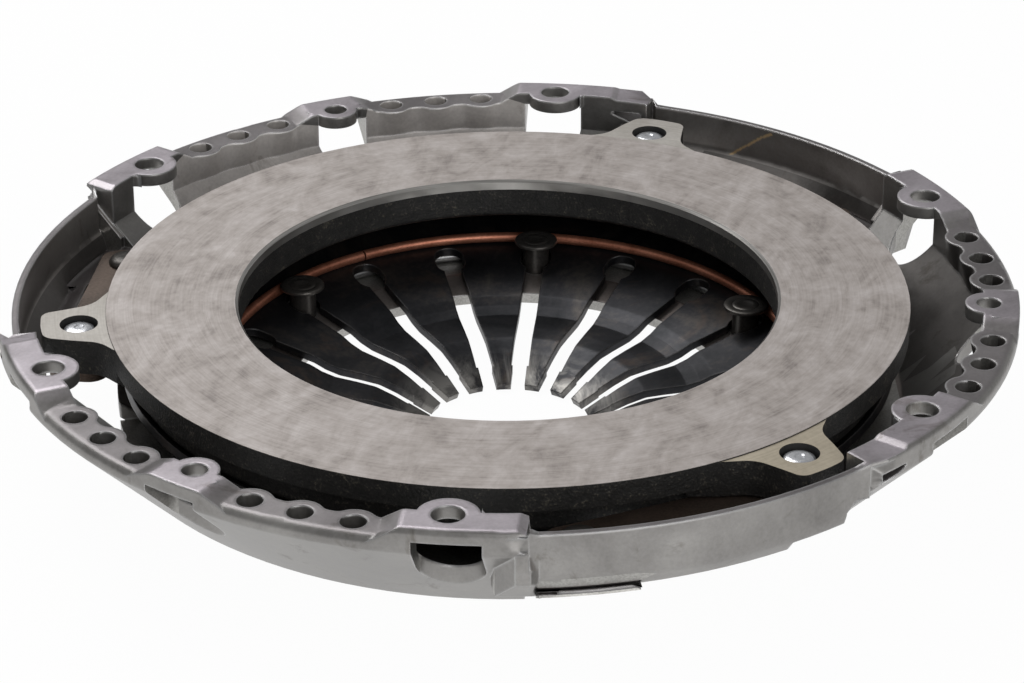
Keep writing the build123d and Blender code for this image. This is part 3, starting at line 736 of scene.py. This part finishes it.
def makeAllRivets():
    s = springRivet
    profile = [(0, s["top"] - 0.0004), (0.0019, s["top"] - 0.0004), (0.0024, s["top"] - 0.00015), (0.0030, s["top"]),
               (0.0041, s["top"]), (0.0045, s["top"] - 0.0002), (0.0049, s["top"]), (s["head"] - 0.0007, s["top"]),
               (s["head"] - 0.0002, s["top"] - 0.0002), (s["head"], s["top"] - 0.0006), (s["head"], s["seat"] + 0.0002),
               (s["head"] - 0.0002, s["seat"]), (s["shank"] + 0.0004, s["seat"]), (s["shank"], s["seat"] - 0.0004),
               (s["shank"], s["floor"]), (s["foot"], s["floor"]), (s["foot"], s["floor"] - 0.0009),
               (s["foot"] - 0.0006, s["floor"] - 0.0017), (s["foot"] - 0.0021, s["footZ"]), (0, s["footZ"])]
    makeRivets("springRivets", profile, 6, s["circle"], 0, darkRivet, "cover_body",
               [f"spring_rivet_{i}" for i in range(1, 7)], segments=48)
    t = strapRivet
    profile = [(0, t["lugTop"] - 0.0003), (0.0011, t["lugTop"] - 0.0003), (0.0016, t["lugTop"]), (0.0031, t["lugTop"]),
               (0.0041, t["lugTop"] - 0.0003), (t["lugHead"], t["lugTop"] - 0.0008), (t["lugHead"], t["lugSeat"]),
               (t["shank"], t["lugSeat"]), (t["shank"], t["bossTop"]), *footOf(t["bossTop"], t["head"], t["height"])]
    makeRivets("lugRivets", profile, 3, t["circle"], 45, rivetSteel, "plate_body",
               [f"plate_strap_rivet_{i}" for i in range(1, 4)])
    profile = [*reversed(footOf(t["top"], t["head"], -t["height"])), (t["shank"], t["top"]), (t["shank"], t["pad"]),
               *footOf(t["pad"], t["head"], t["height"])]
    makeRivets("bossRivets", profile, 3, t["circle"], 15, darkRivet, "cover_body",
               [f"cover_strap_rivet_{i}" for i in range(1, 4)])


# a leaf's bending length, and the line it lies on
strapSettings = {"edge": 0.00015, "from": -0.027, "to": 0.027, "cuts": 14, "out": 0.13426, "z": -0.0198}


def makeStrap(index, leaf):
    # a leaf that bends between its two rivets: sliced along its length
    settings = strapSettings
    piece = refine(f"drive_strap_{index}_{leaf}", f"strapLeaf{index}{leaf.capitalize()}", settings["edge"])
    gap = radians(30 + 120 * (index - 1))
    out, side = Vector((cos(gap), sin(gap), 0)), Vector((-sin(gap), cos(gap), 0))

    def place(along):
        return out * settings["out"] + side * along + Vector((0, 0, settings["z"]))

    work = bmesh.new()
    work.from_mesh(piece.data)
    step = (settings["to"] - settings["from"]) / settings["cuts"]
    for i in range(settings["cuts"] + 1):
        bmesh.ops.bisect_plane(work, geom=work.verts[:] + work.edges[:] + work.faces[:], dist=1e-7,
                               plane_co=place(settings["from"] + step * i), plane_no=side)
    work.to_mesh(piece.data)
    work.free()
    setMaterials(piece, strapSteel)
    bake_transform(piece)
    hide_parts(f"drive_strap_{index}_{leaf}")


def makeWire(node, name, material):
    piece = refine(node, name, 0, sharp=40)
    setMaterials(piece, material)
    settle(piece, "cover_body", [node])


makeCover()
makePlate()
makeSpring()
makeWire("fulcrum_ring_plate_side", "copperRing", copperWire)
makeWire("fulcrum_ring_cover_side", "innerRing", plainWire)
makeAllRivets()
for strap in range(1, 4):
    for leaf in ("upper", "middle", "lower"):
        makeStrap(strap, leaf)
print("pieces made")


# studio

# each lamp's place, size and power, turned with the camera about the clutch's axis
studio = {"turn": -23.59, "floorZ": -0.0559, "reach": 4, "paper": 0.93, "glow": 0.97, "world": 0.30,
          "lamps": {"keyLamp": ((-0.5, 0.7, 1.1), 0.9, 9.8), "fillLamp": ((0.5, -1.2, 0.9), 1.0, 4.0),
                    "frontLamp": ((0.6, -1.3, 0.3), 0.9, 5.0)}}
cameraSettings = {"sensor": 36, "lens": 123.30, "clip": (0.05, 20), "place": (0.0012, -1.0239, 0.4984),
                  "across": (0.99999, -0.00218, -0.00428), "up": (0.00480, 0.45391, 0.89103),
                  "back": (0.0, -0.89104, 0.45391)}


def makeStudio():
    scene = bpy.context.scene
    scene.view_settings.view_transform = "Standard"
    mesh = bpy.data.meshes.new("studioFloor")
    reach, low = studio["reach"], studio["floorZ"]
    corners = [(-reach, -reach, low), (reach, -reach, low), (reach, reach, low), (-reach, reach, low)]
    mesh.from_pydata(corners, [], [(0, 1, 2, 3)])
    floor = bpy.data.objects.new("studioFloor", mesh)
    scene.collection.objects.link(floor)
    material, nodes, links, bsdf = newMaterial("floorPaper")
    bsdf.inputs["Base Color"].default_value = (studio["paper"],) * 3 + (1,)
    bsdf.inputs["Roughness"].default_value = 0.9
    bsdf.inputs["Specular IOR Level"].default_value = 0.0
    glow = addNode(nodes, "Emission")
    glow.inputs["Color"].default_value = (1, 1, 1, 1)
    glow.inputs["Strength"].default_value = 1.0
    paths = addNode(nodes, "LightPath")
    either = mathNode(nodes, links, "MAXIMUM", paths.outputs["Is Camera Ray"], paths.outputs["Is Glossy Ray"])
    either = mathNode(nodes, links, "MAXIMUM", either, paths.outputs["Is Transmission Ray"])
    mix = addNode(nodes, "MixShader")
    links.new(mathNode(nodes, links, "MULTIPLY", either, studio["glow"]), mix.inputs[0])
    links.new(bsdf.outputs[0], mix.inputs[1])
    links.new(glow.outputs[0], mix.inputs[2])
    links.new(mix.outputs[0], nodes["Material Output"].inputs["Surface"])
    floor.data.materials.append(material)

    world = bpy.data.worlds.new("studioWorld")
    scene.world = world
    world.use_nodes = True
    nodes, links = world.node_tree.nodes, world.node_tree.links
    background = nodes["Background"]
    background.inputs["Color"].default_value = (1, 1, 1, 1)
    paths = nodes.new("ShaderNodeLightPath")
    # seen straight on it is white, and it lights the piece less
    strength = remap(nodes, links, paths.outputs["Is Camera Ray"], 0.0, 1.0, studio["world"], 1.0)
    links.new(strength, background.inputs["Strength"])

    for name, (place, size, power) in studio["lamps"].items():
        light = bpy.data.lights.new(name, "AREA")
        light.energy, light.size = power, size
        thing = bpy.data.objects.new(name, light)
        scene.collection.objects.link(thing)
        thing.location = Matrix.Rotation(radians(studio["turn"]), 3, "Z") @ Vector(place)
        thing.rotation_euler = (-thing.location).to_track_quat("-Z", "Y").to_euler()


def makeCamera():
    scene = bpy.context.scene
    data = bpy.data.cameras.new("productCamera")
    camera = bpy.data.objects.new("productCamera", data)
    scene.collection.objects.link(camera)
    scene.camera = camera
    data.sensor_width, data.lens = cameraSettings["sensor"], cameraSettings["lens"]
    data.clip_start, data.clip_end = cameraSettings["clip"]
    turn = Matrix.Rotation(radians(studio["turn"]), 4, "Z")
    axes = Matrix([cameraSettings[axis] for axis in ("across", "up", "back")]).transposed().to_4x4()
    camera.matrix_world = turn @ Matrix.Translation(cameraSettings["place"]) @ axes


makeStudio()
makeCamera()
print("studio made")
